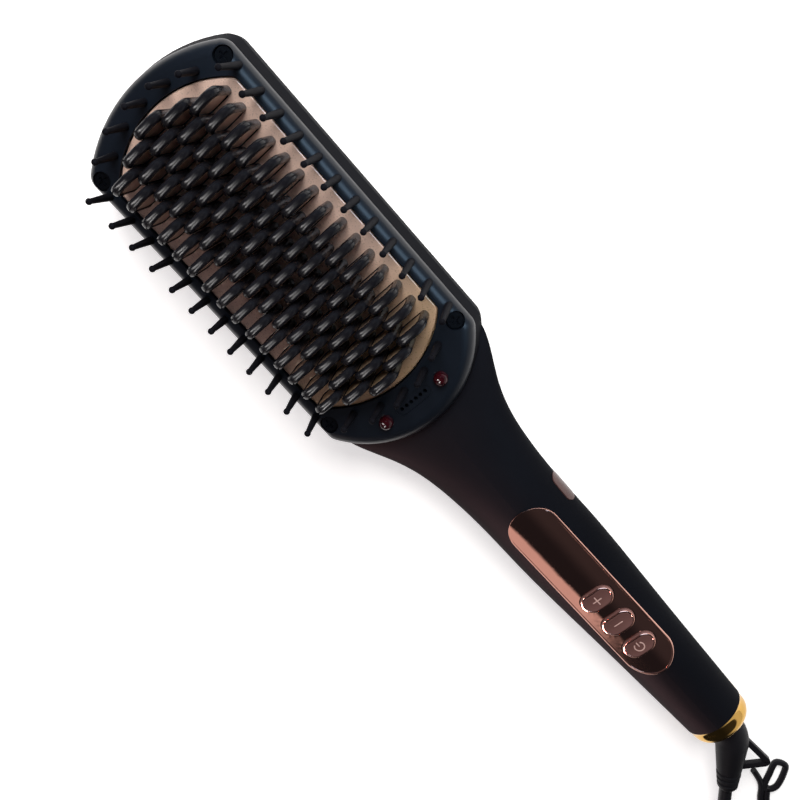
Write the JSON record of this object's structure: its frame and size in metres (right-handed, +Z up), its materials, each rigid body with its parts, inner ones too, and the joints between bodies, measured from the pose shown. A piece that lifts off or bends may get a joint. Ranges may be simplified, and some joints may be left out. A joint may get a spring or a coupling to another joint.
{
  "type": "heated styling brush",
  "caption": "Paddle-shaped heated styling brush with a finned gold plate, guard pins, a mirror control panel with push buttons and a swivel cord.",
  "frame": {"origin": "on the resting plane, under the middle of the brush's bounding box without its cord", "axes": "+X along the handle towards the cord, +Y to the brush's right side, +Z up off the pins"},
  "size_m": [0.4542, 0.0978, 0.0458],
  "materials": {
    "shell_black": "soft satin black",
    "frame_black": "satin black",
    "pin_black": "satin black nylon",
    "cap_black": "matte black nylon",
    "plate_gold": "tan gold ceramic coating",
    "fin_gold": "tan gold ceramic coating",
    "ceramic_white": "bare ceramic",
    "mica": "mica sheet",
    "steel": "plain steel",
    "dark_steel": "blackened steel",
    "sensor_amber": "film wrap",
    "lead_white": "silicone sleeve",
    "lens_red": "dark red lens",
    "board_green": "solder mask",
    "part_black": "moulded",
    "capacitor_yellow": "dipped",
    "rose_mirror": "rose gold mirror",
    "rose_button": "rose gold satin",
    "ring_gold": "yellow gold mirror",
    "white_plastic": "moulded",
    "contact_brass": "bare",
    "boot_rubber": "matte",
    "cord_black": "satin",
    "tie_black": "satin",
    "pin_chrome": "nickel"
  },
  "bodies": {
    "brush": {"rear_shell": "shell_black", "front_shell": "shell_black", "head_frame": "frame_black", "ion_outlet": "frame_black", "guard_pins": "pin_black", "fin_caps": "cap_black", "heating_plate": "plate_gold", "heating_fins": "fin_gold", "heater_elements": "ceramic_white", "insulation_sheet": "mica", "heater_clamp": "steel", "clamp_screws": "steel", "board_screws": "steel", "thermal_fuse": "steel", "frame_screws": "dark_steel", "temperature_sensor": "sensor_amber", "heater_leads": "lead_white", "indicator_lenses": "lens_red", "indicator_board": "board_green", "control_board": "board_green", "tact_switches": "part_black", "triac": "part_black", "ion_generator": "part_black", "display_module": "part_black", "film_capacitor": "capacitor_yellow", "control_panel": "rose_mirror", "side_badge": "rose_mirror", "end_ring": "ring_gold", "swivel_socket": "white_plastic", "contact_springs": "contact_brass", "ion_needle": "contact_brass"},
    "plus_key": {"plus_button": "rose_button"},
    "minus_key": {"minus_button": "rose_button"},
    "power_key": {"power_button": "rose_button"},
    "lead": {"swivel_hub": "white_plastic", "slip_rings": "contact_brass", "cord_boot": "boot_rubber", "power_cord": "cord_black", "cord_coil": "cord_black", "plug_lead": "cord_black", "plug_body": "cord_black", "plug_pins": "pin_chrome", "cord_tie": "tie_black"}
  },
  "joints": [
    {"name": "plus_press", "type": "slide", "parent": "brush", "child": "plus_key", "axis": [0, 0, -1], "range_m": [0, 0.0008], "stiffness_N_per_m": 800, "springref_m": -0.0005},
    {"name": "minus_press", "type": "slide", "parent": "brush", "child": "minus_key", "axis": [0, 0, -1], "range_m": [0, 0.0008], "stiffness_N_per_m": 800, "springref_m": -0.0005},
    {"name": "power_press", "type": "slide", "parent": "brush", "child": "power_key", "axis": [0, 0, -1], "range_m": [0, 0.0008], "stiffness_N_per_m": 800, "springref_m": -0.0005},
    {"name": "cord_swivel", "type": "hinge", "parent": "brush", "child": "lead", "pos_m": [0.1462, 0, 0.0102], "axis": [1, 0, 0], "continuous": true}
  ]
}
